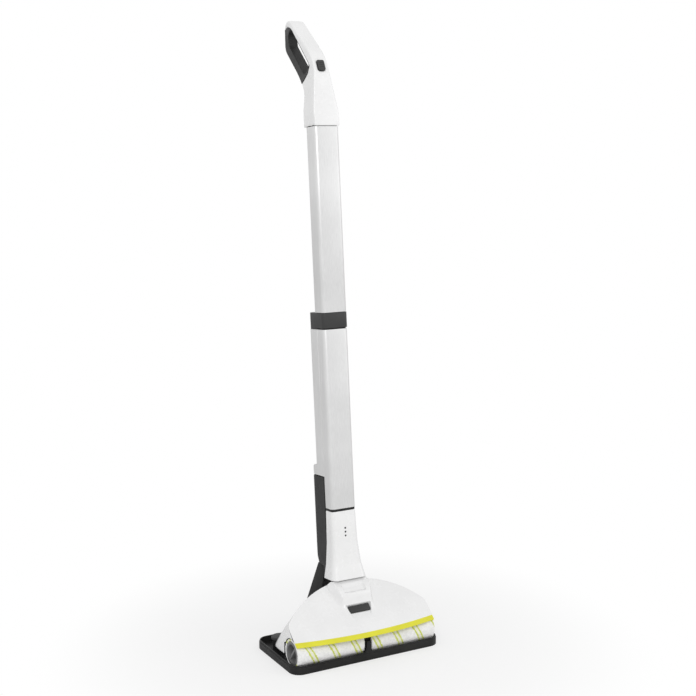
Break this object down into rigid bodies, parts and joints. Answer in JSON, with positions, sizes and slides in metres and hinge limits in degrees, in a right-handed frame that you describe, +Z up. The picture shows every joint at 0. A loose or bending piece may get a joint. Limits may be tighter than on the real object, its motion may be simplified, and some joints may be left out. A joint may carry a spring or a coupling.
{
  "type": "wet dry floor scrubber",
  "caption": "Upright cordless roller floor mop with a D-shaped head, slim leaning shaft and loop handle, parked in its black cleaning tray.",
  "frame": {"origin": "on the floor under the middle of the tray", "axes": "+X to the right seen from the front, +Y to the back, +Z up"},
  "size_m": [0.312, 0.316, 1.1752],
  "materials": {
    "board_green": "solder mask",
    "bronze": "sintered",
    "cell_wrap": "shrink sleeve",
    "collar_grey": "satin",
    "foot_rubber": "matte",
    "frame_black": "satin",
    "gear_white": "moulded",
    "grip_black": "soft touch",
    "hose_clear": "soft hose",
    "lens_smoke": "polished",
    "microfibre": "short pile with thin yellow-green stripes",
    "part_grey": "satin",
    "prop_black": "fine satin grain",
    "seal_dark": "matte",
    "shell_white": "gloss",
    "steel": "machined",
    "strip_yellow": "satin",
    "tray_black": "fine satin grain",
    "tube_silver": "satin silver"
  },
  "bodies": {
    "station": {"tray": "tray_black", "drying_posts": "prop_black", "rear_prop": "prop_black", "tray_feet": "foot_rubber"},
    "head": {"head_chassis": "frame_black", "rear_shell": "shell_white", "gear_case_left": "frame_black", "gear_case_right": "frame_black", "axle_bushes": "bronze", "idler_pin": "steel", "drive_motor": "steel", "scraper_blades": "seal_dark", "water_hose": "hose_clear"},
    "rollers": {"roller_axle": "steel", "axle_gear": "gear_white", "left_sleeve": "part_grey", "right_sleeve": "part_grey", "left_cover": "microfibre", "right_cover": "microfibre", "left_end_cap": "part_grey", "right_end_cap": "part_grey"},
    "idler": {"idler_gear": "gear_white"},
    "rotor": {"motor_pinion": "steel"},
    "tank": {"hood": "shell_white", "dirty_tank": "part_grey", "tank_gasket": "seal_dark", "squeegee_strip": "strip_yellow", "latch_spring": "steel"},
    "latch": {"hood_latch": "collar_grey"},
    "neck": {"neck_cover": "shell_white", "spine": "frame_black", "neck_base": "frame_black", "neck_ring": "frame_black", "led_lenses": "lens_smoke", "control_board": "board_green", "battery_cells": "cell_wrap", "battery_holder": "frame_black", "lower_tube": "tube_silver", "collar": "collar_grey", "coupling_insert": "frame_black", "contact_socket": "frame_black", "charging_jack": "frame_black", "spine_screws": "steel"},
    "clean_water": {"clean_tank": "tube_silver", "fill_cap": "seal_dark"},
    "handle": {"upper_tube": "tube_silver", "handle_shell": "shell_white", "handle_grip": "grip_black", "handle_insert": "frame_black", "switch_spring": "steel", "switch_unit": "frame_black", "signal_cable": "seal_dark", "contact_plug": "frame_black"},
    "switch": {"power_switch": "collar_grey"}
  },
  "joints": [
    {"name": "machine_lift", "type": "slide", "parent": "station", "child": "head", "axis": [0, 0, 1], "range_m": [0, 0.16]},
    {"name": "neck_swivel", "type": "hinge", "parent": "head", "child": "neck", "pos_m": [0, 0.01412, 0.13226], "axis": [0, 0.0912, 0.9958], "range_deg": [-30, 30]},
    {"name": "roller_spin", "type": "hinge", "parent": "head", "child": "rollers", "pos_m": [0, -0.0517, 0.0305], "axis": [1, 0, 0], "continuous": true},
    {"name": "idler_spin", "type": "hinge", "parent": "head", "child": "idler", "pos_m": [0, -0.03331, 0.04888], "axis": [1, 0, 0], "continuous": true},
    {"name": "rotor_spin", "type": "hinge", "parent": "head", "child": "rotor", "pos_m": [0, -0.02129, 0.06091], "axis": [1, 0, 0], "continuous": true},
    {"name": "tank_pull", "type": "slide", "parent": "head", "child": "tank", "axis": [0, -1, 0], "range_m": [0, 0.1]},
    {"name": "latch_press", "type": "slide", "parent": "tank", "child": "latch", "axis": [0, 0.7071, -0.7071], "range_m": [0, 0.002], "stiffness_N_per_m": 1500, "springref_m": -0.0005, "deforming": ["latch_spring"]},
    {"name": "clean_tank_pull", "type": "slide", "parent": "neck", "child": "clean_water", "axis": [0, 0.9958, -0.0912], "range_m": [0, 0.05]},
    {"name": "handle_unplug", "type": "slide", "parent": "neck", "child": "handle", "axis": [0, 0.0912, 0.9958], "range_m": [0, 0.08]},
    {"name": "switch_press", "type": "slide", "parent": "handle", "child": "switch", "axis": [0, 0.8892, -0.4576], "range_m": [0, 0.0015], "stiffness_N_per_m": 1200, "springref_m": -0.0005, "deforming": ["switch_spring"]}
  ],
  "couplings": [
    {"joint": "idler_spin", "follows": "roller_spin", "ratio": -1.1667},
    {"joint": "rotor_spin", "follows": "roller_spin", "ratio": 2.8}
  ]
}
